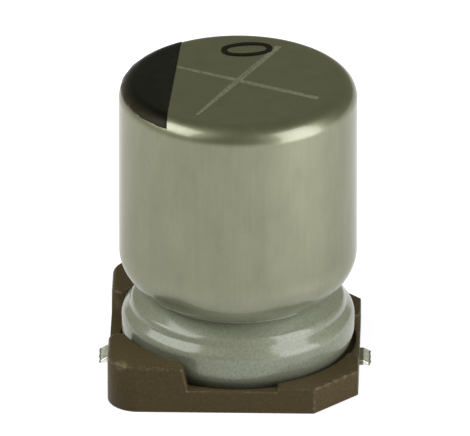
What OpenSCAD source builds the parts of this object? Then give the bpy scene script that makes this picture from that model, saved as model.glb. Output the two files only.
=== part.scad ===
// Surface-mount aluminium electrolytic capacitor on a moulded base, in millimetres.
// The board is the plane z = 0, the positive lead points along +X and the origin is under
// the middle of the base.

/* [Can] */
// Outside diameter of the can
can_d = 8.0; // [7.6:0.05:8.4]
// Height of the can's top above the board
overall_h = 10.35; // [9.6:0.05:11.5]
// Thickness of the aluminium sheet
can_t = 0.25; // [0.2:0.01:0.28]
// Outside radius of the can's top edge
rim_r = 0.62; // [0.45:0.01:0.9]
// Outside radius of the shoulder above the rolled groove
shoulder_r = 1.39; // [1.3:0.01:1.42]
// How far the can's axis sits from the base's middle, towards the positive lead
can_shift = 0.1; // [0:0.01:0.12]

/* [Groove and curl] */
// Height of the groove's bottom above the can's foot
groove_h = 2.42; // [2.35:0.01:2.6]
// Depth of the groove's corner inside the can wall, at the middle of the sheet
groove_depth = 1.09; // [1.05:0.01:1.15]
// Height of the shoulder's corner above the groove's
shoulder_rise = 0.48; // [0.42:0.01:0.56]
// Bend radius in the bottom of the groove, at the middle of the sheet
groove_r = 0.2; // [0.16:0.01:0.21]
// How far the bead under the groove is smaller than the can, on the radius
bead_inset = 0.08; // [0.05:0.01:0.1]
// Height of the bead's upper corner above the can's foot
bead_h = 1.38; // [1.32:0.01:1.42]
// Bend radius of the bead's upper corner, at the middle of the sheet
bead_r = 0.38; // [0.3:0.01:0.42]
// Height of the ridge that the groove roller leaves above the bead
ridge_h = 1.88; // [1.86:0.01:1.92]
// Inset of that ridge from the can wall
ridge_inset = 0.39; // [0.375:0.005:0.41]
// Bend radius of that ridge, at the middle of the sheet
ridge_r = 0.18; // [0.14:0.01:0.22]
// Height of the crease between that ridge and the bead
crease_h = 1.68; // [1.64:0.01:1.7]
// Inset of that crease from the can wall
crease_inset = 0.34; // [0.32:0.005:0.35]
// Bend radius of that crease, at the middle of the sheet
crease_r = 0.23; // [0.18:0.01:0.26]
// Outside radius of the curl that closes the can's foot
curl_r = 0.65; // [0.5:0.01:0.75]
// How far the curl reaches in under the seal, from the bead to the lip's middle
lip_reach = 0.76; // [0.76:0.01:0.95]
// Bend radius of the lip that bites into the seal, at the middle of the sheet
lip_r = 0.2; // [0.15:0.01:0.22]
// Straight height of that lip
lip_h = 0.15; // [0.1:0.01:0.25]

/* [Vent] */
// Gap between the ends of the scored lines and the can's top edge
vent_margin = 0.38; // [0.3:0.01:1.2]
// Width of a scored line
vent_w = 0.14; // [0.08:0.01:0.2]
// Depth of a scored line
vent_depth = 0.07; // [0.04:0.01:0.12]
// Turn of the vent's cross from the line of the leads
vent_turn = -26; // [-45:1:45]

/* [Printed marks] */
// Thickness of the ink
ink_t = 0.02; // [0.015:0.005:0.03]
// Width of the negative mark, from the can's side to its straight edge
mark_w = 1.86; // [1.4:0.01:2.2]
// Turn of that edge from the line across the leads
mark_turn = -3.3; // [-8:0.1:8]
// How far round the can's top edge the ink reaches, in degrees above level
mark_end = 30; // [20:1:60]
// Length of the printed ring
ring_l = 1.74; // [1.4:0.02:2.0]
// Width of the printed ring
ring_w = 1.04; // [0.8:0.02:1.2]
// Width of the ring's line
ring_line = 0.2; // [0.1:0.01:0.3]
// Distance from the can's side to the middle of the ring
ring_inset = 1.58; // [1.3:0.01:2.2]
// Place of the ring's middle along the line of the leads
ring_x = 0.24; // [-0.6:0.01:0.6]
// Turn of the ring's length from the line of the leads
ring_turn = 10; // [-20:1:20]

/* [Base] */
// How far the square base stands out past the can's diameter on each side
base_margin = 0.2; // [0.18:0.01:0.3]
// Radius of the two corners at the negative end
corner_r = 1.05; // [0.6:0.05:1.4]
// Leg of the two chamfered corners at the positive end
corner_chamfer = 1.45; // [1.1:0.05:1.6]
// Height of the seat that the can stands on
seat_h = 0.45; // [0.4:0.01:0.55]
// Height of the base in the middle of each side
side_h = 0.8; // [0.72:0.01:0.86]
// Height of the low walls at the positive end
low_wall_h = 0.93; // [0.88:0.01:1.1]
// Height of the tall walls at the negative end
tall_wall_h = 1.68; // [1.4:0.01:1.9]
// Gap round the can's bead at the top of the tall walls
wall_gap = 0.15; // [0.12:0.01:0.2]
// Gap round the can's bead at the seat
seat_gap = 0.0; // [0:0.01:0.05]
// Length of the gap between the walls at the front and the back
front_gap = 3.0; // [2.4:0.05:3.4]
// Length of the gap between the walls above each lead
lead_gap = 2.74; // [2.2:0.05:3.0]
// Slope of the walls' ends, as width gained over their height
end_slope = 0.18; // [0.1:0.01:0.3]
// Radius of the walls' outer corners above the leads
end_r = 0.38; // [0.2:0.01:0.5]

/* [Leads and tabs] */
// Distance between the two leads where they enter the seal
lead_pitch = 3.1; // [2.9:0.05:3.4]
// How far the tips of the leads stand out past the base
lead_out = 0.4; // [0.3:0.01:0.5]
// Width of a lead's flattened foot
foot_w = 1.0; // [0.8:0.05:1.1]
// Thickness of a lead's flattened foot
foot_t = 0.2; // [0.16:0.01:0.26]
// Length of the bevel at a lead's cut tip
tip_bevel = 0.3; // [0.1:0.01:0.4]
// Thickness left at the cut tip
tip_t = 0.05; // [0.03:0.01:0.1]
// Diameter of the round part of a lead
wire_d = 0.6; // [0.5:0.01:0.7]
// Inside radius of a lead's bend
foot_bend_r = 0.1; // [0.05:0.01:0.12]
// Diameter of the weld between a lead and its tab
weld_d = 0.86; // [0.7:0.01:1.0]
// Height of that weld
weld_h = 0.09; // [0.05:0.01:0.1]
// Diameter of a tab's round boss
boss_d = 1.2; // [1.0:0.05:1.4]
// Width of a tab's flat
tab_w = 1.4; // [1.0:0.05:1.6]
// Thickness of a tab's flat
tab_t = 0.18; // [0.12:0.01:0.22]
// Share of the foil's width that a tab's flat lies along
tab_share = 0.8; // [0.6:0.05:0.95]

/* [Seal] */
// Thickness of the rubber seal
seal_t = 2.65; // [2.5:0.05:2.8]
// Height of the seal's underside above the can's foot
seal_lift = 0.35; // [0.3:0.01:0.4]

/* [Winding] */
// Radius of the hole that the mandrel leaves
core_r = 0.5; // [0.3:0.05:0.8]
// Thickness of the etched anode foil
anode_t = 0.1; // [0.08:0.01:0.12]
// Thickness of the cathode foil
cathode_t = 0.05; // [0.04:0.01:0.07]
// Thickness of a paper separator
paper_t = 0.05; // [0.04:0.01:0.07]
// Thickness of the tape that closes the roll
tape_t = 0.05; // [0.04:0.01:0.07]
// Looseness between two layers of the roll
slack = 0.01; // [0.008:0.001:0.015]
// Room for the roll inside the can wall
roll_room = 0.2; // [0.15:0.01:0.3]
// Gap between the seal and the paper
roll_lift = 0.3; // [0.2:0.01:0.4]
// Gap between the paper and the can's top
roll_headroom = 0.3; // [0.2:0.01:0.5]
// How far the paper stands out past the foil at each end
paper_over = 0.3; // [0.2:0.01:0.5]
// Width of the tape, as a share of the foil's width
tape_share = 0.8; // [0.5:0.05:1]

/* [Hidden] */
$fn = 96;

// How far a cutter runs past the face that it cuts
over = 0.1;

// Angle between two points of a bend
bend_step = 9;

// Clearance round a lead in the base, and in the groove under it
lead_clear = 0.1;
groove_clear = 0.02;

// Gap between the seal and the can that grips it
seal_clear = 0.02;

// Gap between a tab's flat and the foil and paper beside it
tab_clear = 0.03;

// Room under the seal for the welds, and how far a tab's boss stands out above the seal
weld_drop = 0.05;
boss_rise = 0.12;

// How far the pieces of one lead or tab run into each other, and a lead's square neck stands
// out past its round wire
joint = 0.02;

base_w = can_d + 2 * base_margin;
lead_span = base_w + 2 * lead_out;
mark_edge = can_d / 2 - mark_w;
vent_l = can_d - 2 * rim_r - 2 * vent_margin;

// The can's section, at the middle of the sheet
wall_x = (can_d - can_t) / 2;
bead_x = wall_x - bead_inset;
foot_z = seat_h + can_t / 2;
groove_z = seat_h + groove_h;
can_section = [
    [0, overall_h - can_t / 2, 0],
    [wall_x, overall_h - can_t / 2, rim_r - can_t / 2],
    [wall_x, groove_z + shoulder_rise, shoulder_r - can_t / 2],
    [wall_x - groove_depth, groove_z, groove_r],
    [wall_x - ridge_inset, seat_h + ridge_h, ridge_r],
    [wall_x - crease_inset, seat_h + crease_h, crease_r],
    [bead_x, seat_h + bead_h, bead_r],
    [bead_x, foot_z, curl_r - can_t / 2],
    [bead_x - lip_reach, foot_z, lip_r],
    [bead_x - lip_reach, foot_z + lip_r + lip_h, 0]
];

// The seal and the roll, from the foot of the can upwards
seal_z = seat_h + seal_lift;
seal_top = seal_z + seal_t;
paper_z = seal_top + roll_lift;
paper_w = overall_h - can_t - roll_headroom - paper_z;
foil_z = paper_z + paper_over;
foil_w = paper_w - 2 * paper_over;
tape_w = tape_share * foil_w;

// Layers of the roll, each by its distance from the inside of its turn
inner_at = 0;
anode_at = inner_at + paper_t + slack;
outer_at = anode_at + anode_t + slack;
cathode_at = outer_at + paper_t + slack;
turn_pitch = cathode_at + cathode_t + slack;
tab_room = tab_t + 2 * tab_clear;
roll_r = can_d / 2 - can_t - roll_room;
turns = floor((roll_r - tape_t - core_r - tab_room) / turn_pitch - 0.5);
anode_turn = round((lead_pitch / 2 - core_r - anode_at - anode_t) / turn_pitch);
cathode_turn = round((lead_pitch / 2 - core_r - cathode_at - cathode_t) / turn_pitch - 0.5);

// Where a layer crosses the line of the leads, at the positive and at the negative end
function plus_x(layer_at, turn) =
    core_r + turn * turn_pitch + layer_at
    + ((layer_at > anode_at ? turn >= anode_turn : turn > anode_turn) ? tab_room : 0);
function minus_x(layer_at, turn) =
    core_r + (turn + 0.5) * turn_pitch + layer_at + (turn > cathode_turn ? tab_room : 0);

// The wall round the can, as a cone from the seat to the top of the tall walls
bead_out = bead_x + can_t / 2;
seat_r = bead_out + seat_gap;
wall_top_r = bead_out + wall_gap;

// A section is a list of corners, each with its bend radius at the middle of the sheet. Its
// sheet lies along it, and grow moves its line outwards from the middle of the sheet
function spot(path, i) = [path[i][0], path[i][1]];
function ahead(path, i) = (spot(path, i + 1) - spot(path, i)) / norm(spot(path, i + 1) - spot(path, i));
function outwards(way, grow) = grow * [-way[1], way[0]];
function bend_angle(path, i) = acos(ahead(path, i - 1) * ahead(path, i));
function turns_outwards(path, i) = cross(ahead(path, i - 1), ahead(path, i)) > 0;
function bend_centre(path, i) =
    let(inwards = ahead(path, i) - ahead(path, i - 1))
    spot(path, i) + inwards / norm(inwards) * path[i][2] / cos(bend_angle(path, i) / 2);

// The points of one bend, a few degrees apart
function bend(path, i, grow) =
    let(
        side = turns_outwards(path, i) ? -1 : 1,
        from = side * outwards(ahead(path, i - 1), path[i][2] + side * grow),
        steps = ceil(bend_angle(path, i) / bend_step)
    )
    [for (k = [0 : steps])
        let(a = -side * k / steps * bend_angle(path, i))
        bend_centre(path, i) + [from[0] * cos(a) - from[1] * sin(a), from[0] * sin(a) + from[1] * cos(a)]
    ];
function outline(path, grow) =
    let(last = len(path) - 1)
    concat(
        [spot(path, 0) + outwards(ahead(path, 0), grow)],
        [for (i = [1 : last - 1]) each bend(path, i, grow)],
        [spot(path, last) + outwards(ahead(path, last - 1), grow)]
    );
function reversed(points) = [for (i = [len(points) - 1 : -1 : 0]) points[i]];

// The sheet of a section
module sheet(path, t) {
    polygon(concat(outline(path, t / 2), reversed(outline(path, -t / 2))));
}

// The area between a section and the axis
module enclosed(path, grow) {
    polygon(concat(outline(path, grow), [[0, path[len(path) - 1][1]]]));
}

// What stands on the can's axis
module on_can_axis() {
    translate([can_shift, 0, 0]) children();
}

// One scored line of the vent, a V along X
module vent_line() {
    slope = vent_w / 2 / vent_depth;
    translate([-vent_l / 2, 0, overall_h])
        rotate([90, 0, 90])
            linear_extrude(vent_l)
                polygon([[0, -vent_depth], [vent_w / 2 + slope * over, over], [-vent_w / 2 - slope * over, over]]);
}

module can() {
    color("darkkhaki")
        on_can_axis()
            difference() {
                rotate_extrude() sheet(can_section, can_t);
                for (turn = [0, 90])
                    rotate([0, 0, vent_turn + turn]) vent_line();
            }
}

// The film of ink on the can's top and round its edge
module ink_film() {
    rotate_extrude() {
        translate([0, overall_h]) square([can_d / 2 - rim_r, ink_t]);
        translate([can_d / 2 - rim_r, overall_h - rim_r])
            intersection() {
                difference() {
                    circle(rim_r + ink_t);
                    circle(rim_r);
                }
                polygon([
                    [0, 0],
                    [2 * rim_r * cos(mark_end), 2 * rim_r * sin(mark_end)],
                    [2 * rim_r, 2 * rim_r],
                    [0, 2 * rim_r]
                ]);
            }
    }
}

module negative_mark() {
    color("black")
        on_can_axis()
            intersection() {
                ink_film();
                rotate([0, 0, mark_turn])
                    translate([-can_d, -can_d, overall_h - rim_r - over])
                        cube([can_d - mark_edge, 2 * can_d, rim_r + ink_t + 2 * over]);
            }
}

// An oval of four arcs. Its ends have a share of half its width as their radius
module oval(l, w) {
    end_share = 0.8;
    end_arc = end_share * w / 2;
    end_x = l / 2 - end_arc;
    side_arc = (end_x * end_x + w * w / 4 - end_arc * end_arc) / (w - 2 * end_arc);
    side_y = side_arc - w / 2;
    meet_x = end_x * side_arc / (side_arc - end_arc);
    intersection() {
        translate([0, side_y]) circle(side_arc);
        translate([0, -side_y]) circle(side_arc);
        square([2 * meet_x, w + over], center = true);
    }
    for (side = [-1, 1])
        translate([side * end_x, 0]) circle(end_arc);
}

module printed_ring() {
    color("black")
        on_can_axis()
            translate([ring_x, can_d / 2 - ring_inset, overall_h])
                rotate([0, 0, ring_turn])
                    linear_extrude(ink_t)
                        difference() {
                            oval(ring_l, ring_w);
                            oval(ring_l - 2 * ring_line, ring_w - 2 * ring_line);
                        }
}

// The base's outline: round corners at the negative end, chamfers at the positive end
module base_outline() {
    half = base_w / 2;
    straight = half - corner_r;
    translate([-half, -straight]) square([half, 2 * straight]);
    translate([-straight, -half]) square([straight, base_w]);
    for (side = [-1, 1])
        translate([-straight, side * straight]) circle(corner_r);
    polygon([
        [0, -half], [half - corner_chamfer, -half], [half, corner_chamfer - half],
        [half, half - corner_chamfer], [half - corner_chamfer, half], [0, half]
    ]);
}

// The part of the base at one end, up to a height. side is -1 for the negative end
module base_end(side, height) {
    linear_extrude(height)
        intersection() {
            base_outline();
            translate([side * base_w / 2, 0]) square([base_w, 2 * base_w], center = true);
        }
}

// The gap between two walls, along X, with sloping ends
module wall_gap_cut(gap) {
    rise = tall_wall_h - side_h;
    slope = end_slope / rise;
    rotate([90, 0, 90])
        translate([0, 0, -base_w])
            linear_extrude(2 * base_w)
                polygon([
                    [-gap / 2, side_h], [gap / 2, side_h],
                    [gap / 2 + slope * (rise + over), tall_wall_h + over],
                    [-gap / 2 - slope * (rise + over), tall_wall_h + over]
                ]);
}

// What rounds a wall's outer corner above a lead
module wall_corner_cut() {
    translate([0, 0, side_h])
        linear_extrude(tall_wall_h)
            difference() {
                translate([-over, -over]) square(end_r + over);
                translate([end_r, end_r]) circle(end_r);
            }
}

module base() {
    color("saddlebrown")
        difference() {
            union() {
                base_end(-1, tall_wall_h);
                base_end(1, low_wall_h);
            }
            rotate([0, 0, 90]) wall_gap_cut(front_gap);
            wall_gap_cut(lead_gap);
            for (end = [0, 180], side = [0, 1])
                rotate([0, 0, end])
                    mirror([0, side, 0])
                        translate([-base_w / 2, lead_gap / 2, 0]) wall_corner_cut();
            on_can_axis() {
                translate([0, 0, seat_h])
                    cylinder(
                        h = tall_wall_h + over - seat_h,
                        r1 = seat_r,
                        r2 = seat_r + (wall_top_r - seat_r) * (tall_wall_h + over - seat_h) / (tall_wall_h - seat_h)
                    );
                for (end = [0, 180])
                    rotate([0, 0, end]) translate([lead_pitch / 2, 0, 0]) lead_slot();
            }
            for (end = [0, 180])
                rotate([0, 0, end]) lead_groove();
        }
}

// The slot that a lead comes down through
module lead_slot() {
    slot_l = foot_t + 2 * foot_bend_r + 2 * lead_clear;
    slot_w = foot_w + 2 * lead_clear;
    translate([-slot_l / 2, -slot_w / 2, -over]) cube([slot_l, slot_w, seat_h + 2 * over]);
}

// The groove under the base that a lead's foot lies in
module lead_groove() {
    groove_w = foot_w + 2 * groove_clear;
    from = lead_pitch / 2 - can_shift;
    translate([from, -groove_w / 2, -over])
        cube([base_w / 2 - from + over, groove_w, foot_t + groove_clear + over]);
}

// A lead that points along +X, from the middle of its round wire to the tip
module lead(reach) {
    bend_x = foot_t / 2 + foot_bend_r;
    top_z = seal_z - weld_drop;
    flat_top = foot_t + foot_bend_r;
    wire_z = top_z - weld_h - 2 * joint;
    neck = wire_d / 2 + joint;
    // The foot, bevelled at its cut tip
    rotate([90, 0, 0])
        linear_extrude(foot_w, center = true)
            polygon([[bend_x, 0], [reach, 0], [reach, tip_t], [reach - tip_bevel, foot_t], [bend_x, foot_t]]);
    // The bend
    translate([bend_x, foot_w / 2, flat_top])
        rotate([90, 0, 0])
            rotate([0, 0, 180])
                linear_extrude(foot_w)
                    intersection() {
                        difference() {
                            circle(foot_bend_r + foot_t);
                            circle(foot_bend_r);
                        }
                        square(foot_bend_r + foot_t);
                    }
    // From the flat of the bend to the round wire
    intersection() {
        rotate([90, 0, 0])
            linear_extrude(2 * foot_w, center = true)
                polygon([[-foot_t / 2, flat_top], [foot_t / 2, flat_top], [neck, wire_z], [-neck, wire_z]]);
        rotate([90, 0, 90])
            linear_extrude(2 * foot_w, center = true)
                polygon([[-foot_w / 2, flat_top], [foot_w / 2, flat_top], [neck, wire_z], [-neck, wire_z]]);
    }
    translate([0, 0, wire_z - joint]) cylinder(d = wire_d, h = top_z - weld_h / 2 - wire_z + joint);
    translate([0, 0, top_z - weld_h]) cylinder(d = weld_d, h = weld_h);
}

module positive_lead() {
    color("silver")
        translate([can_shift + lead_pitch / 2, 0, 0])
            lead(lead_span / 2 - lead_pitch / 2 - can_shift);
}

module negative_lead() {
    color("silver")
        translate([can_shift - lead_pitch / 2, 0, 0])
            rotate([0, 0, 180])
                lead(lead_span / 2 - lead_pitch / 2 + can_shift);
}

// A tab that points along +X: a round boss in the seal and a flat that curves with the roll
module tab(inner_x, centre_x) {
    boss_z = seal_z - weld_drop;
    boss_top = seal_top + boss_rise;
    flat_z = boss_top - joint;
    flat_r = inner_x + tab_clear - centre_x;
    half_angle = asin(tab_w / 2 / flat_r);
    translate([lead_pitch / 2, 0, boss_z]) cylinder(d = boss_d, h = boss_top - boss_z);
    translate([centre_x, 0, flat_z])
        rotate([0, 0, -half_angle])
            rotate_extrude(angle = 2 * half_angle)
                translate([flat_r, 0]) square([tab_t, foil_z + tab_share * foil_w - flat_z]);
}

module anode_tab() {
    inner_x = plus_x(anode_at, anode_turn) + anode_t;
    color("lightgray")
        on_can_axis()
            tab(inner_x, (plus_x(anode_at, anode_turn) - minus_x(anode_at, anode_turn)) / 2);
}

module cathode_tab() {
    inner_x = minus_x(cathode_at, cathode_turn) + cathode_t;
    color("lightgray")
        on_can_axis()
            rotate([0, 0, 180])
                tab(inner_x, (minus_x(cathode_at, cathode_turn) - plus_x(cathode_at, cathode_turn)) / 2);
}

module rubber_seal() {
    color("dimgray")
        on_can_axis()
            difference() {
                rotate_extrude()
                    intersection() {
                        enclosed(can_section, -can_t / 2 - seal_clear);
                        translate([0, seal_z]) square([can_d, seal_t]);
                    }
                for (side = [-1, 1])
                    translate([side * lead_pitch / 2, 0, seal_z - over])
                        cylinder(d = boss_d, h = seal_t + 2 * over);
            }
}

// Half a turn of a layer, between its crossings of the line of the leads
module half_turn(plus, minus, t, width, half) {
    translate([(plus - minus) / 2, 0, 0])
        rotate([0, 0, half * 180])
            rotate_extrude(angle = 180)
                translate([(plus + minus) / 2, 0]) square([t, width]);
}

// The turns of one layer, from the core or from a later turn
module roll(layer_at, t, from_turn, to_turn, z, width) {
    on_can_axis()
        translate([0, 0, z])
            for (turn = [from_turn : to_turn - 1]) {
                half_turn(plus_x(layer_at, turn), minus_x(layer_at, turn), t, width, 0);
                half_turn(plus_x(layer_at, turn + 1), minus_x(layer_at, turn), t, width, 1);
            }
}

module anode_foil() {
    color("gainsboro") roll(anode_at, anode_t, 0, turns, foil_z, foil_w);
}

module cathode_foil() {
    color("gray") roll(cathode_at, cathode_t, 0, turns, foil_z, foil_w);
}

module inner_separator() {
    color("wheat") roll(inner_at, paper_t, 0, turns, paper_z, paper_w);
}

module outer_separator() {
    color("wheat") roll(outer_at, paper_t, 0, turns, paper_z, paper_w);
}

module closing_tape() {
    color("goldenrod") roll(inner_at, tape_t, turns, turns + 1, foil_z + (foil_w - tape_w) / 2, tape_w);
}

can();
negative_mark();
printed_ring();
base();
positive_lead();
negative_lead();
anode_tab();
cathode_tab();
rubber_seal();
anode_foil();
cathode_foil();
inner_separator();
outer_separator();
closing_tape();
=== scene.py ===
import math

import bmesh
import bpy
from mathutils import Matrix, Vector, noise


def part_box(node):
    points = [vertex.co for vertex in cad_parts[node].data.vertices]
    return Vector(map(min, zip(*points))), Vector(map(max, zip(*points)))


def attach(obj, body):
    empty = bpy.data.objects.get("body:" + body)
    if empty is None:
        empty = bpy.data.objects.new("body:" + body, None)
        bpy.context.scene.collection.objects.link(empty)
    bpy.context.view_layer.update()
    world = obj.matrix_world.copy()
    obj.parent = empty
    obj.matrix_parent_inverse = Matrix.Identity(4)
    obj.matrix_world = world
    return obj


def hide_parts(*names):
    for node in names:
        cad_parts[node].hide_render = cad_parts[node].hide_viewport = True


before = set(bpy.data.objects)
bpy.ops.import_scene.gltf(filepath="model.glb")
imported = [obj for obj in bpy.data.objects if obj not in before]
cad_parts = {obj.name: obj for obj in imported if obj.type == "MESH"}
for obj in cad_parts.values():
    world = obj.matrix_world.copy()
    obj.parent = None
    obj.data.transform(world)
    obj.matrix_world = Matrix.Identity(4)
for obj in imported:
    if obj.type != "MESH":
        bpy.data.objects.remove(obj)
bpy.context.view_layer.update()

# The winding: two aluminium foils with two strips of soaked paper between them, rolled up on
# a mandrel and closed with tape. The anode foil is etched, so it is dull and finely pitted.
mm = 0.001


def new_finish(name, colour, roughness, metallic=0.0):
    """A finish for one material, before its marks and relief."""
    finish = bpy.data.materials.new(name)
    finish.use_nodes = True
    shader = finish.node_tree.nodes["Principled BSDF"]
    shader.inputs["Base Color"].default_value = (*colour, 1)
    shader.inputs["Roughness"].default_value = roughness
    shader.inputs["Metallic"].default_value = metallic
    return finish


def grain(finish, per_mm, stretch=(1, 1, 1), detail=4.0, rough=0.55):
    """Noise on the piece's own coordinates, with so many marks to the millimetre."""
    nodes, links = finish.node_tree.nodes, finish.node_tree.links
    place = nodes.new("ShaderNodeTexCoord")
    spread = nodes.new("ShaderNodeMapping")
    spread.inputs["Scale"].default_value = [per_mm / mm * s for s in stretch]
    marks = nodes.new("ShaderNodeTexNoise")
    marks.inputs["Scale"].default_value = 1.0
    marks.inputs["Detail"].default_value = detail
    marks.inputs["Roughness"].default_value = rough
    links.new(place.outputs["Object"], spread.inputs["Vector"])
    links.new(spread.outputs["Vector"], marks.inputs["Vector"])
    return marks.outputs["Fac"]


def between(finish, mask, low, high, start=0.3, stop=0.7):
    """Runs from low to high as the mask goes from start to stop."""
    nodes, links = finish.node_tree.nodes, finish.node_tree.links
    ramp = nodes.new("ShaderNodeMapRange")
    ramp.inputs["From Min"].default_value = start
    ramp.inputs["From Max"].default_value = stop
    ramp.inputs["To Min"].default_value = low
    ramp.inputs["To Max"].default_value = high
    links.new(mask, ramp.inputs["Value"])
    return ramp.outputs["Result"]


def tint(finish, mask, low, high, start=0.3, stop=0.7):
    """Lets the colour wander from low to high with the mask."""
    nodes, links = finish.node_tree.nodes, finish.node_tree.links
    mix = nodes.new("ShaderNodeMix")
    mix.data_type = "RGBA"
    mix.inputs["A"].default_value = (*low, 1)
    mix.inputs["B"].default_value = (*high, 1)
    links.new(between(finish, mask, 0, 1, start, stop), mix.inputs["Factor"])
    links.new(mix.outputs["Result"], nodes["Principled BSDF"].inputs["Base Color"])


def roughen(finish, mask, low, high, start=0.3, stop=0.7):
    """Lets the roughness wander from low to high with the mask."""
    shader = finish.node_tree.nodes["Principled BSDF"]
    wander = between(finish, mask, low, high, start, stop)
    finish.node_tree.links.new(wander, shader.inputs["Roughness"])


def emboss(finish, mask, depth):
    """Raises the surface with the mask, by a depth in millimetres, on top of any relief before."""
    nodes, links = finish.node_tree.nodes, finish.node_tree.links
    shader = nodes["Principled BSDF"]
    relief = nodes.new("ShaderNodeBump")
    relief.inputs["Distance"].default_value = depth * mm
    links.new(mask, relief.inputs["Height"])
    if shader.inputs["Normal"].is_linked:
        links.new(shader.inputs["Normal"].links[0].from_socket, relief.inputs["Normal"])
    links.new(relief.outputs["Normal"], shader.inputs["Normal"])


def dress(node, finish):
    """Gives a CAD node its finish."""
    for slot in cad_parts[node].material_slots:
        slot.material = finish


etched = new_finish("etched_foil", (0.42, 0.42, 0.4), 0.6, 0.9)
pits = grain(etched, 14)
tint(etched, pits, (0.3, 0.3, 0.29), (0.5, 0.5, 0.48))
emboss(etched, pits, 0.01)
dress("anode_foil", etched)

rolled = new_finish("rolled_foil", (0.6, 0.6, 0.58), 0.42, 1.0)
rolling = grain(rolled, 9, (1, 1, 0.08))
roughen(rolled, rolling, 0.32, 0.55)
emboss(rolled, rolling, 0.006)
dress("cathode_foil", rolled)

paper = new_finish("soaked_paper", (0.62, 0.5, 0.33), 0.5)
fibres = grain(paper, 7, (1, 1, 0.35), 6.0)
tint(paper, fibres, (0.5, 0.38, 0.22), (0.7, 0.6, 0.42))
emboss(paper, fibres, 0.012)
for strip in ("inner_separator", "outer_separator"):
    dress(strip, paper)

tape = new_finish("closing_tape", (0.55, 0.33, 0.08), 0.2)
smears = grain(tape, 2.5)
tint(tape, smears, (0.45, 0.25, 0.05), (0.62, 0.4, 0.12))
roughen(tape, smears, 0.15, 0.35)
dress("closing_tape", tape)

# The tabs: aluminium, cold pressed from wire. Each has a round boss that the seal grips and
# a flat that is stitched to its foil.
pressed = new_finish("pressed_tab", (0.66, 0.66, 0.64), 0.38, 1.0)
die_marks = grain(pressed, 5, (1, 1, 0.15))
roughen(pressed, die_marks, 0.28, 0.5)
emboss(pressed, die_marks, 0.01)
for tab in ("anode_tab", "cathode_tab"):
    dress(tab, pressed)

# The seal: a bung of black rubber with two holes. The groove and the curl squeeze it, and
# so it stays gas tight round the tabs' bosses.
rubber = new_finish("seal_rubber", (0.018, 0.018, 0.018), 0.7)
bloom = grain(rubber, 4)
tint(rubber, bloom, (0.012, 0.012, 0.012), (0.035, 0.034, 0.032))
emboss(rubber, bloom, 0.012)
dress("rubber_seal", rubber)

# The can: one piece of aluminium sheet, deep drawn and clear lacquered, with a groove rolled
# in above the seal and its foot curled in under it. The vent's cross is scored in its top.
can_low, can_high = [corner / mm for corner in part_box("can")]
can_axis = Vector(((can_low.x + can_high.x) / 2, 0, 0))
can_radius = (can_high.x - can_low.x) / 2
can_top = can_high.z
sheet = 0.25
rim_bend = 0.62
groove_height = 2.39
# Corners of the outside, from the top down: inset from the side, height above the foot and
# bend radius. The last is the curl's cut edge, which isn't bent.
can_corners = [
    (0.0, can_top - can_low.z, rim_bend),
    (0.0, 2.819, 1.39),
    (0.972, groove_height, 0.04),
    (0.404, 1.952, 0.305),
    (0.351, 1.739, 0.105),
    (0.08, 1.427, 0.4),
    (0.08, 0.64, 0.8),
    (0.42, 0.0, 0.45),
    (1.09, 0.0, 0.3),
    (1.09, 0.475, 0.0),
]
can_steps = 144
flat_margin = 0.1
flat_radius = can_radius - rim_bend - flat_margin
vent_turn = math.radians(-26)
vent_half = 3.0
vent_width = 0.15
vent_depth = 0.05
vent_taper = 0.55
burr_width = 0.03
burr_height = 0.012
burr_reach = vent_width / 2 + burr_width
touching = 0.001


def round_corner(shape, corner, bend):
    """Rounds one corner of a line to a radius."""
    ways = [(edge.other_vert(corner).co - corner.co).normalized() for edge in corner.link_edges]
    back_off = bend / math.tan(ways[0].angle(ways[1]) / 2)
    bmesh.ops.bevel(
        shape, geom=[corner], offset=back_off, offset_type="OFFSET", affect="VERTICES",
        segments=10, profile=0.5, material=-1,
    )


def line_through(shape, points):
    """A line of edges through some points."""
    verts = [shape.verts.new(point) for point in points]
    for near, far in zip(verts, verts[1:]):
        shape.edges.new((near, far))
    return verts


def turn_full(shape, axis_at, steps):
    """Spins a line once round an upright axis."""
    bmesh.ops.spin(
        shape, geom=shape.verts[:] + shape.edges[:], cent=axis_at, axis=(0, 0, 1), dvec=(0, 0, 0),
        angle=2 * math.pi, steps=steps, use_merge=True, use_duplicate=False,
    )


def face_up(shape):
    """Turns all faces outwards on an open skin whose highest face looks up."""
    bmesh.ops.recalc_face_normals(shape, faces=shape.faces)
    if max(shape.faces, key=lambda face: face.calc_center_median().z).normal.z < 0:
        bmesh.ops.reverse_faces(shape, faces=shape.faces)


def add_piece(name, shape, *finishes):
    """Makes a shape in millimetres a piece that rides on the part."""
    bmesh.ops.scale(shape, vec=(mm, mm, mm), verts=shape.verts)
    mesh = bpy.data.meshes.new(name)
    shape.to_mesh(mesh)
    shape.free()
    for finish in finishes:
        mesh.materials.append(finish)
    for face in mesh.polygons:
        face.use_smooth = True
    piece = bpy.data.objects.new(name, mesh)
    bpy.context.scene.collection.objects.link(piece)
    even = piece.modifiers.new("even_shading", "WEIGHTED_NORMAL")
    even.keep_sharp = True
    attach(piece, "root")
    return piece


def cut_along(shape, faces, at, normal):
    """Cuts faces along a plane and keeps both sides."""
    edges = dict.fromkeys(edge for face in faces for edge in face.edges)
    verts = dict.fromkeys(vert for face in faces for vert in face.verts)
    bmesh.ops.bisect_plane(
        shape, geom=[*faces, *edges, *verts], plane_co=at, plane_no=normal, dist=1e-5,
    )


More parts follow.
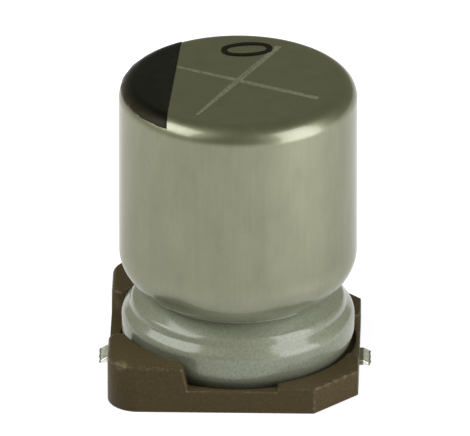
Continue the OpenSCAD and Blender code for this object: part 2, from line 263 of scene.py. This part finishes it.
can = bmesh.new()
can_points = [can_axis + Vector((flat_radius, 0, can_top))]
for inset, height, _ in can_corners:
    can_points.append(can_axis + Vector((can_radius - inset, 0, can_low.z + height)))
can_line = line_through(can, can_points)
for corner, (_, _, bend) in zip(can_line[1:-1], can_corners):
    round_corner(can, corner, bend)
turn_full(can, can_axis, can_steps)
inner_ring = [
    edge for edge in can.edges
    if edge.is_boundary and all(vert.co.z > can_top - 0.01 for vert in edge.verts)
]
bmesh.ops.holes_fill(can, edges=inner_ring, sides=0)
face_up(can)
for face in can.faces:
    if face.calc_center_median().z < can_low.z + groove_height:
        face.material_index = 2


def flat_faces(shape):
    """The faces on the flat of the can's top, without its rim."""
    return [
        face for face in shape.faces
        if face.normal.z > 0.999 and (face.calc_center_median() - can_axis).xy.length < flat_radius
    ]


top_centre = can_axis + Vector((0, 0, can_top))
vent_lines = []
for angle in (vent_turn, vent_turn + math.pi / 2):
    line = Vector((math.cos(angle), math.sin(angle), 0))
    vent_lines.append((line, Vector((-line.y, line.x, 0))))
for line, across in vent_lines:
    for step in (-burr_reach, -vent_width / 2, 0, vent_width / 2, burr_reach):
        cut_along(can, flat_faces(can), top_centre + across * step, across)
    for end in (-vent_half, vent_half):
        cut_along(can, flat_faces(can), top_centre + line * end, line)
scored_faces = set()
for face in flat_faces(can):
    spot = face.calc_center_median() - top_centre
    for line, across in vent_lines:
        if abs(spot.dot(across)) < burr_reach and abs(spot.dot(line)) < vent_half:
            face.material_index = 1
            scored_faces.add(face)
burr_edge = burr_reach + touching
for vert in {v for face in scored_faces for v in face.verts}:
    spot = vert.co - top_centre
    rise = 0
    shift = Vector()
    for line, across in vent_lines:
        along, aside = spot.dot(line), spot.dot(across)
        if abs(along) < vent_half - touching:
            if abs(aside) < touching:
                rise = -vent_depth
            elif abs(abs(aside) - vent_width / 2) < touching and rise == 0:
                rise = burr_height
        if along < -burr_edge and abs(aside) < burr_edge:
            shift = across * aside * vent_taper * min(1, -along / vent_half)
    vert.co += Vector((0, 0, rise)) - shift
bmesh.ops.solidify(can, geom=can.faces[:], thickness=sheet)


def lacquer(finish, share, roughness):
    """Puts a clear coat on a share of a finish."""
    shader = finish.node_tree.nodes["Principled BSDF"]
    shader.inputs["Coat Weight"].default_value = share
    shader.inputs["Coat Roughness"].default_value = roughness


def height_over(finish, low, high):
    """A mask that runs from 0 to 1 between two heights in millimetres."""
    nodes, links = finish.node_tree.nodes, finish.node_tree.links
    place = nodes.new("ShaderNodeTexCoord")
    apart = nodes.new("ShaderNodeSeparateXYZ")
    links.new(place.outputs["Object"], apart.inputs["Vector"])
    return between(finish, apart.outputs["Z"], 0, 1, low * mm, high * mm)


def stain(finish, mask, low, high, start=0.3, stop=0.7):
    """Scales the colour so far by a share that goes from low to high with the mask."""
    nodes, links = finish.node_tree.nodes, finish.node_tree.links
    colour = nodes["Principled BSDF"].inputs["Base Color"]
    scale = nodes.new("ShaderNodeVectorMath")
    scale.operation = "SCALE"
    links.new(colour.links[0].from_socket, scale.inputs[0])
    links.new(between(finish, mask, low, high, start, stop), scale.inputs["Scale"])
    links.new(scale.outputs["Vector"], colour)


drawn_colour = (0.185, 0.19, 0.118)
warm_highlight = (0.6, 0.6, 0.5, 1)
drawn = new_finish("drawn_aluminium", drawn_colour, 0.39, 1.0)
drawn_shader = drawn.node_tree.nodes["Principled BSDF"]
drawn_shader.inputs["Specular Tint"].default_value = warm_highlight
streaks = grain(drawn, 7, (1, 1, 0.03), 4.0, 0.6)
smears = grain(drawn, 1.3, (1, 1, 0.5), 5.0, 0.65)
down_the_shoulder = height_over(drawn, 4.6, 2.9)
tint(drawn, down_the_shoulder, drawn_colour, (0.27, 0.285, 0.19), 0, 1)
stain(drawn, streaks, 0.965, 1.035)
stain(drawn, smears, 0.9, 1.06)
roughen(drawn, down_the_shoulder, 0.39, 0.62, 0, 1)
bare_metal = between(drawn, down_the_shoulder, 1.0, 0.5, 0, 1)
drawn.node_tree.links.new(bare_metal, drawn_shader.inputs["Metallic"])
emboss(drawn, streaks, 0.0008)
lacquer(drawn, 0.65, 0.1)
worked = new_finish("worked_aluminium", (0.215, 0.232, 0.157), 0.62, 0.5)
worked.node_tree.nodes["Principled BSDF"].inputs["Specular Tint"].default_value = warm_highlight
sand = grain(worked, 13, (1, 1, 0.8), 2.0)
tint(worked, sand, (0.185, 0.2, 0.135), (0.245, 0.264, 0.179))
emboss(worked, sand, 0.004)
lacquer(worked, 0.8, 0.13)
scratched = new_finish("scored_aluminium", (0.3, 0.3, 0.23), 0.6, 1.0)
crumbs = grain(scratched, 16, (1, 1, 1), 3.0)
tint(scratched, crumbs, (0.24, 0.24, 0.17), (0.38, 0.38, 0.3), 0.35, 0.65)
emboss(scratched, crumbs, 0.01)
can_piece = add_piece("drawn_can", can, drawn, scratched, worked)
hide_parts("can")

# The leads: tinned steel wire, rolled flat and bent out under the base, then cropped. The
# crop leaves a bright slope and a torn edge at each tip.
foot_width = 1.0
foot_thick = 0.2
foot_edge = 0.05
tip_slope = 0.27
tip_thick = 0.05
torn_length = 0.105
tear_depth = 0.04
tear_spread = 0.06
tear_curl = 0.03
bend_inside = 0.1
wire_radius = 0.3
wire_from = 0.58
wire_top = 0.74
lead_pitch = 3.1


def box_between(low, high):
    """A block between two corners, as a shape of its own."""
    block = bmesh.new()
    bmesh.ops.create_cube(block, size=1)
    low, high = Vector(low), Vector(high)
    bmesh.ops.scale(block, vec=high - low, verts=block.verts)
    bmesh.ops.translate(block, vec=(low + high) / 2, verts=block.verts)
    return block


def everything(shape):
    """All of a shape, for an operator that cuts through it."""
    return shape.verts[:] + shape.edges[:] + shape.faces[:]


def make_lead(side):
    """One lead, from its tip to its weld. side is 1 at the positive end and -1 at the other."""
    low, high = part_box("positive_lead" if side > 0 else "negative_lead")
    tip_x = max(high.x, -low.x) / mm
    wire_x = lead_pitch / 2 + can_axis.x * side
    bend_x = wire_x + foot_thick / 2 + bend_inside
    lead = box_between((bend_x, -foot_width / 2, 0), (tip_x, foot_width / 2, foot_thick))
    long_edges = [e for e in lead.edges if abs(e.verts[0].co.x - e.verts[1].co.x) > 1]
    bmesh.ops.bevel(
        lead, geom=long_edges, offset=foot_edge, offset_type="OFFSET", affect="EDGES", segments=3,
        profile=0.5, material=-1,
    )
    for share in (1.0, 0.75, 0.5, 0.25):
        cut_at = (tip_x - tip_slope * share, 0, 0)
        bmesh.ops.bisect_plane(lead, geom=everything(lead), plane_co=cut_at, plane_no=(1, 0, 0))
    for share in (-0.4, -0.3, -0.2, -0.1, 0, 0.1, 0.2, 0.3, 0.4):
        cut_at = (0, foot_width * share, 0)
        bmesh.ops.bisect_plane(lead, geom=everything(lead), plane_co=cut_at, plane_no=(0, 1, 0))
    for vert in lead.verts:
        past = (vert.co.x - tip_x + tip_slope) / tip_slope
        if past > -0.01:
            thick = foot_thick + (tip_thick - foot_thick) * past
            vert.co.z *= thick / foot_thick
            tear = noise.noise(Vector((7 * side, vert.co.y * 6, vert.co.z * 9)))
            vert.co.x -= past * past * (tear_depth + tear_spread * tear)
            curl = noise.noise(Vector((vert.co.x * 9, vert.co.y * 7, side)))
            vert.co.z = max(0, vert.co.z + past * tear_curl * curl)
    inner_end = [
        face for face in lead.faces
        if face.normal.x < -0.9 and face.calc_center_median().x < bend_x + 0.01
    ]
    end_loop = [edge for edge in lead.edges if any(face in inner_end for face in edge.link_faces)]
    bmesh.ops.delete(lead, geom=inner_end, context="FACES_ONLY")
    end_loop = [edge for edge in end_loop if edge.is_boundary]
    loose = [edge for edge in lead.edges if edge.is_wire]
    bmesh.ops.delete(lead, geom=loose, context="EDGES")
    spun = bmesh.ops.spin(
        lead, geom=end_loop, cent=(bend_x, 0, foot_thick + bend_inside), axis=(0, 1, 0),
        dvec=(0, 0, 0), angle=math.pi / 2, steps=5, use_merge=False, use_duplicate=False,
    )
    ring = [g for g in spun["geom_last"] if isinstance(g, bmesh.types.BMEdge)]
    for height in (wire_from, wire_top):
        raised = bmesh.ops.extrude_edge_only(lead, edges=ring)["geom"]
        ring = [g for g in raised if isinstance(g, bmesh.types.BMEdge)]
        for vert in {v for e in ring for v in e.verts}:
            away = Vector((vert.co.x - wire_x, vert.co.y, 0)).normalized() * wire_radius
            vert.co = (wire_x + away.x, away.y, height)
    bmesh.ops.holes_fill(lead, edges=ring, sides=0)
    # Faces near the tip take the torn steel. On the positive lead, the flat behind the slope takes
    # a darker tin, which is painted shade near the base.
    for face in lead.faces:
        short_of_tip = tip_x - face.calc_center_median().x
        if short_of_tip < torn_length:
            face.material_index = 1
        elif side > 0 and short_of_tip > tip_slope:
            face.material_index = 2
    if side < 0:
        bmesh.ops.scale(lead, vec=(-1, 1, 1), verts=lead.verts)
    bmesh.ops.recalc_face_normals(lead, faces=lead.faces)
    return lead


def plated(name, low, high):
    """Tin plate whose colour wanders between two tones."""
    finish = new_finish(name, high, 0.38, 1.0)
    tin = grain(finish, 9)
    tint(finish, tin, low, high)
    roughen(finish, tin, 0.28, 0.5)
    emboss(finish, tin, 0.015)
    return finish


lead_finishes = [
    plated("bright_tin", (0.55, 0.58, 0.48), (0.95, 0.97, 0.9)),
    plated("torn_steel", (0.05, 0.052, 0.04), (0.3, 0.31, 0.26)),
    # Darker tin for the positive lead's flat: painted shade.
    plated("tin_with_painted_shade", (0.12, 0.13, 0.08), (0.24, 0.25, 0.18)),
]
for side, node in ((1, "positive_lead"), (-1, "negative_lead")):
    lead_piece = add_piece("tinned_" + node, make_lead(side), *lead_finishes)
    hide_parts(node)

# The base: one moulding of brown plastic with a tall wall at each negative corner and a low,
# chamfered one at each positive corner. Its edges are a little rounded and rubbed pale.
base_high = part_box("base")[1] / mm
half_base = base_high.x
tall_top = base_high.z
low_top = 0.93
side_top = 0.8
seat = can_low.z
round_leg = 1.05
chamfer_leg = 1.45
front_gap = 3.0
lead_gap = 2.74
gap_flare = 0.18
wall_end_bend = 0.38
seat_radius = 3.92
wall_radius = 4.07
slot_clear = 0.1
groove_clear = 0.02
over = 0.5
edge_bend = 0.05
wall_bend = 0.12
crisp_angle = 25
merge_within = 0.02


def wall_gap(gap, bend):
    """The gap between two walls, along X, with flared ends and round outer corners."""
    cutter = bmesh.new()
    half = gap / 2
    corners = [(half_base + over, half + bend), (half_base, half + bend), (half_base, half)]
    corners += [(-x, y) for x, y in reversed(corners)]
    corners += [(-x, -y) for x, y in corners]
    outline = [cutter.verts.new((x, y, side_top)) for x, y in corners]
    cutter.faces.new(outline)
    if bend > 0:
        bmesh.ops.bevel(
            cutter, geom=[outline[i] for i in (2, 3, 8, 9)], offset=bend, offset_type="OFFSET",
            affect="VERTICES", segments=8, profile=0.5, material=-1,
        )
    raised = bmesh.ops.extrude_face_region(cutter, geom=cutter.faces[:])["geom"]
    flare = gap_flare * (tall_top + over - side_top) / (tall_top - side_top)
    for vert in [g for g in raised if isinstance(g, bmesh.types.BMVert)]:
        vert.co.z = tall_top + over
        vert.co.y += math.copysign(flare, vert.co.y)
    bmesh.ops.recalc_face_normals(cutter, faces=cutter.faces)
    return cutter


def stand_in(shape):
    """A shape as an object, which only lasts for a cut."""
    mesh = bpy.data.meshes.new("blank")
    shape.to_mesh(mesh)
    shape.free()
    thing = bpy.data.objects.new("blank", mesh)
    bpy.context.scene.collection.objects.link(thing)
    return thing


def carve(blank, cutters):
    """Cuts some shapes out of a blank."""
    block = stand_in(blank)
    tools = [stand_in(cutter) for cutter in cutters]
    for tool in tools:
        cut = block.modifiers.new("cut", "BOOLEAN")
        cut.operation = "DIFFERENCE"
        cut.solver = "EXACT"
        cut.object = tool
    carved = bmesh.new()
    carved.from_object(block, bpy.context.evaluated_depsgraph_get())
    for thing in [block, *tools]:
        mesh = thing.data
        bpy.data.objects.remove(thing)
        bpy.data.meshes.remove(mesh)
    return carved


def crisp_edges(shape):
    """The outward edges where two faces meet at more than a slight angle."""
    least = math.radians(crisp_angle)
    return [edge for edge in shape.edges if edge.is_convex and edge.calc_face_angle(0) > least]


def round_off(shape, edges, bend):
    """Rounds edges to a radius. The new faces are the rubbed ones."""
    bmesh.ops.bevel(
        shape, geom=edges, offset=bend, offset_type="OFFSET", affect="EDGES", segments=4,
        profile=0.5, material=1, clamp_overlap=False,
    )


blank = box_between((-half_base, -half_base, 0), (half_base, half_base, tall_top))
for end, leg, rounds in ((-1, round_leg, 16), (1, chamfer_leg, 1)):
    corner_edges = [
        e for e in blank.edges
        if all(v.co.x * end > half_base - 0.01 and abs(v.co.y) > half_base - 0.01 for v in e.verts)
        and abs(e.verts[0].co.z - e.verts[1].co.z) > 1
    ]
    bmesh.ops.bevel(
        blank, geom=corner_edges, offset=leg, offset_type="OFFSET", affect="EDGES", segments=rounds,
        profile=0.5, material=-1,
    )
across_gap = wall_gap(front_gap, 0)
bmesh.ops.rotate(across_gap, matrix=Matrix.Rotation(math.pi / 2, 3, "Z"), verts=across_gap.verts)
pocket = bmesh.new()
deep = tall_top + over - seat
mouth_radius = seat_radius + (wall_radius - seat_radius) * deep / (tall_top - seat)
bmesh.ops.create_cone(
    pocket, cap_ends=True, segments=can_steps, radius1=seat_radius, radius2=mouth_radius,
    depth=deep, matrix=Matrix.Translation(can_axis + Vector((0, 0, seat + deep / 2))),
)
cutters = [
    box_between((0, -2 * half_base, low_top), (2 * half_base, 2 * half_base, 2 * tall_top)),
    across_gap,
    wall_gap(lead_gap, wall_end_bend),
    pocket,
]
slot_long = foot_thick / 2 + bend_inside + slot_clear
slot_wide = foot_width / 2 + slot_clear
groove_wide = foot_width / 2 + groove_clear
for side in (-1, 1):
    slot_x = can_axis.x + side * lead_pitch / 2
    cutters.append(box_between(
        (slot_x - slot_long, -slot_wide, -over), (slot_x + slot_long, slot_wide, seat + 0.1)
    ))
    ends = sorted((side * (lead_pitch / 2 - can_axis.x), side * (half_base + over)))
    cutters.append(box_between(
        (ends[0], -groove_wide, -over), (ends[1], groove_wide, foot_thick + groove_clear)
    ))
base = carve(blank, cutters)
bmesh.ops.remove_doubles(base, verts=base.verts, dist=merge_within)
bmesh.ops.dissolve_limit(base, angle_limit=math.radians(0.5), verts=base.verts, edges=base.edges)
tall_edges = [e for e in crisp_edges(base) if all(v.co.z > tall_top - 0.01 for v in e.verts)]
round_off(base, tall_edges, wall_bend)
round_off(base, crisp_edges(base), edge_bend)

moulded = new_finish("moulded_brown", (0.073, 0.055, 0.023), 0.4)
moulded.node_tree.nodes["Principled BSDF"].inputs["Specular IOR Level"].default_value = 0.06
gate_marks = grain(moulded, 9)
tint(moulded, gate_marks, (0.063, 0.047, 0.02), (0.083, 0.063, 0.027))
roughen(moulded, gate_marks, 0.34, 0.48)
emboss(moulded, gate_marks, 0.012)
rubbed = new_finish("rubbed_edge", (0.06, 0.04, 0.012), 0.42)
rubbed.node_tree.nodes["Principled BSDF"].inputs["Specular IOR Level"].default_value = 0.3
rubbing = grain(rubbed, 9, (1, 1, 1), 5.0)
tint(rubbed, rubbing, (0.056, 0.038, 0.01), (0.12, 0.095, 0.052), 0.5, 0.72)
emboss(rubbed, rubbing, 0.02)


def scuff_and_glint(finish, spot, reach, paleness):
    """Rubs a finish pale in flecks round a spot on the part, in millimetres: partly wear, partly
    painted glints.
    """
    nodes, links = finish.node_tree.nodes, finish.node_tree.links
    place = nodes.new("ShaderNodeTexCoord")
    apart = nodes.new("ShaderNodeVectorMath")
    apart.operation = "DISTANCE"
    apart.inputs[1].default_value = Vector(spot) * mm
    links.new(place.outputs["Object"], apart.inputs[0])
    nearness = between(finish, apart.outputs["Value"], 1, 0, reach * 0.3 * mm, reach * mm)
    flecks_and_glints = nodes.new("ShaderNodeMath")
    flecks_and_glints.operation = "MULTIPLY"
    links.new(grain(finish, 18, (1, 1, 1), 2.0), flecks_and_glints.inputs[0])
    links.new(nearness, flecks_and_glints.inputs[1])
    stain(finish, flecks_and_glints.outputs["Value"], 1.0, paleness, 0.3, 0.65)


# Pale flecks at the front-left corner and along the chamfer's top edge: partly rubbed wear, partly
# painted glints.
for finish in (moulded, rubbed):
    scuff_and_glint(finish, (-3.75, -3.95, tall_top), 0.5, 2.3)
    for along in (0.1, 0.3, 0.5, 0.7, 0.9):
        on_chamfer = (half_base - chamfer_leg * along, -half_base + chamfer_leg * (1 - along))
        scuff_and_glint(finish, (*on_chamfer, low_top), 0.26, 1.9)
base_piece = add_piece("moulded_base", base, moulded, rubbed)
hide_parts("base")

# The print: black ink on the can's top and over its edge marks the negative side, with a
# small ring near the far edge.
ink = new_finish("black_ink", (0.003, 0.003, 0.001), 0.35)
ink.node_tree.nodes["Principled BSDF"].inputs["Specular IOR Level"].default_value = 0.07
wear = grain(ink, 3)
# Down the rim the ink turns brown: partly thinner, worn ink, partly a painted highlight of the
# metal under it.
rim_wear_and_sheen = height_over(ink, can_top - 0.02, can_top - 0.4)
tint(ink, rim_wear_and_sheen, (0.0025, 0.0025, 0.001), (0.045, 0.036, 0.016), 0, 1)
roughen(ink, wear, 0.3, 0.42)
mark_edge = 2.14
mark_turn = math.radians(-3.3)
ink_thick = 0.02
ink_end = math.radians(30)
run_height = 0.2
run_depth = 0.07
rim_steps = 10
round_steps = 216
rim_middle = Vector((can_radius - rim_bend, 0, can_top - rim_bend)) + can_axis
film = bmesh.new()
film_points = [can_axis + Vector((1.0, 0, can_top + ink_thick))]
for step in range(rim_steps + 1):
    angle = math.pi / 2 + (ink_end - math.pi / 2) * step / rim_steps
    outwards = Vector((math.cos(angle), 0, math.sin(angle)))
    film_points.append(rim_middle + (rim_bend + ink_thick) * outwards)
line_through(film, film_points)
turn_full(film, can_axis, round_steps)
face_up(film)
away = Vector((-math.cos(mark_turn), -math.sin(mark_turn), 0))
bmesh.ops.bisect_plane(
    film, geom=everything(film), plane_co=can_axis + away * mark_edge, plane_no=away,
    clear_inner=True,
)
lowest = min(vert.co.z for vert in film.verts)
for vert in film.verts:
    if vert.co.z < lowest + run_height:
        about = vert.co - can_axis
        angle = math.atan2(about.y, about.x)
        share = 1 - (vert.co.z - lowest) / run_height
        run = noise.noise(Vector((angle * 9, 0, 0)))
        run += 0.5 * noise.noise(Vector((angle * 31, 5, 0)))
        vert.co.z += share * run_depth * run
bmesh.ops.solidify(film, geom=film.faces[:], thickness=ink_thick * 0.9)
mark_piece = add_piece("printed_mark", film, ink)
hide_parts("negative_mark")
dress("printed_ring", ink)

# The studio: a white floor that still takes the part's shadow, wide softboxes at both sides
# and a dim, yellowish ceiling that only shows in the metal and the ink.


def seen_directly(tree):
    """1 for the rays that see the background itself, in the picture or in a reflection."""
    path = tree.nodes.new("ShaderNodeLightPath")
    total = path.outputs["Is Camera Ray"]
    for kind in ("Is Glossy Ray", "Is Transmission Ray"):
        add = tree.nodes.new("ShaderNodeMath")
        add.operation = "ADD"
        add.use_clamp = True
        tree.links.new(total, add.inputs[0])
        tree.links.new(path.outputs[kind], add.inputs[1])
        total = add.outputs[0]
    return total


def add_stage(name, shape, finish):
    """Makes a shape in metres a part of the studio."""
    mesh = bpy.data.meshes.new(name)
    shape.to_mesh(mesh)
    shape.free()
    mesh.materials.append(finish)
    thing = bpy.data.objects.new(name, mesh)
    bpy.context.scene.collection.objects.link(thing)
    return thing


world = bpy.data.worlds.new("studio")
bpy.context.scene.world = world
world.use_nodes = True
sky = world.node_tree
fill_light = 0.2
backdrop = 1.0
fill_range = sky.nodes.new("ShaderNodeMapRange")
fill_range.inputs["To Min"].default_value = fill_light
fill_range.inputs["To Max"].default_value = backdrop
sky.links.new(seen_directly(sky), fill_range.inputs["Value"])
sky.links.new(fill_range.outputs["Result"], sky.nodes["Background"].inputs["Strength"])
sky.nodes["Background"].inputs["Color"].default_value = (1, 1, 1, 1)

floor_finish = new_finish("white_floor", (0.65, 0.65, 0.65), 0.9)
floor_shader = floor_finish.node_tree.nodes["Principled BSDF"]
floor_shader.inputs["Specular IOR Level"].default_value = 0.0
floor_shader.inputs["Emission Color"].default_value = (1, 1, 1, 1)
floor_tree = floor_finish.node_tree
place = floor_tree.nodes.new("ShaderNodeTexCoord")
away_from_part = floor_tree.nodes.new("ShaderNodeVectorMath")
away_from_part.operation = "LENGTH"
floor_tree.links.new(place.outputs["Object"], away_from_part.inputs[0])
# The floor glows less near the part: painted shade round its foot, which shows mostly in the
# metal's reflections.
glow_with_painted_shade = between(floor_finish, away_from_part.outputs["Value"], 0.66, 0.9, 7 * mm, 20 * mm)
lift = floor_tree.nodes.new("ShaderNodeMath")
lift.operation = "MULTIPLY"
floor_tree.links.new(glow_with_painted_shade, lift.inputs[0])
floor_tree.links.new(seen_directly(floor_tree), lift.inputs[1])
floor_tree.links.new(lift.outputs["Value"], floor_shader.inputs["Emission Strength"])
floor_reach = 3
floor_drop = 0.005
floor_shape = bmesh.new()
bmesh.ops.create_grid(floor_shape, x_segments=1, y_segments=1, size=floor_reach)
bmesh.ops.translate(floor_shape, vec=(0, 0, -floor_drop * mm), verts=floor_shape.verts)
add_stage("floor", floor_shape, floor_finish)

card = new_finish("grey_card", (0.02, 0.02, 0.02), 1.0)
card_shader = card.node_tree.nodes["Principled BSDF"]
card_shader.inputs["Specular IOR Level"].default_value = 0.0
card_shader.inputs["Emission Color"].default_value = (1, 1, 0.78, 1)
card_shader.inputs["Emission Strength"].default_value = 0.36
dome_radius = 0.8
dome_foot = 0.005
dome = bmesh.new()
bmesh.ops.create_uvsphere(dome, u_segments=48, v_segments=24, radius=dome_radius)
bmesh.ops.bisect_plane(
    dome, geom=everything(dome), plane_co=(0, 0, dome_foot), plane_no=(0, 0, -1),
    clear_outer=True,
)
ceiling = add_stage("ceiling", dome, card)
ceiling.visible_camera = False
ceiling.visible_diffuse = False
ceiling.visible_shadow = False

aim = Vector((0, 0, 5.23)) * mm


def direction(azimuth, elevation):
    """From the part towards what stands at an azimuth, counted from the front."""
    a, e = math.radians(azimuth), math.radians(elevation)
    return Vector((math.sin(a) * math.cos(e), -math.cos(a) * math.cos(e), math.sin(e)))


def point_at(thing, away, distance):
    """Stands a thing at a distance from the part, turned to face it."""
    facing = away.to_track_quat("Z", "Y").to_matrix().to_4x4()
    thing.matrix_world = Matrix.Translation(aim + away * distance) @ facing


def add_softbox(name, azimuth, distance, bottom, width, height, radiance, colour):
    """An upright softbox in millimetres, which faces the can's axis."""
    lamp = bpy.data.lights.new(name, "AREA")
    lamp.color = colour
    lamp.shape = "RECTANGLE"
    lamp.size = width * mm
    lamp.size_y = height * mm
    lamp.energy = radiance * math.pi * width * height * mm * mm
    box = bpy.data.objects.new(name, lamp)
    bpy.context.scene.collection.objects.link(box)
    point_at(box, direction(azimuth, 0), distance * mm)
    box.matrix_world.translation.z = (bottom + height / 2) * mm


add_softbox("right_softbox", 61, 45, 1, 34, 58, 4.4, (1.0, 1.0, 1.12))
add_softbox("left_softbox", -74, 60, 32, 66, 80, 4.6, (1.0, 1.0, 1.08))

picture_width = 15.77 * mm
sensor = 36
stand_off = 0.6
camera_data = bpy.data.cameras.new("camera")
camera_data.sensor_width = sensor
camera_data.lens = sensor * stand_off / picture_width
camera_data.clip_start = 0.01
camera = bpy.data.objects.new("camera", camera_data)
bpy.context.scene.collection.objects.link(camera)
point_at(camera, direction(1.33, 26), stand_off)
bpy.context.scene.camera = camera
bpy.context.scene.view_settings.view_transform = "Standard"
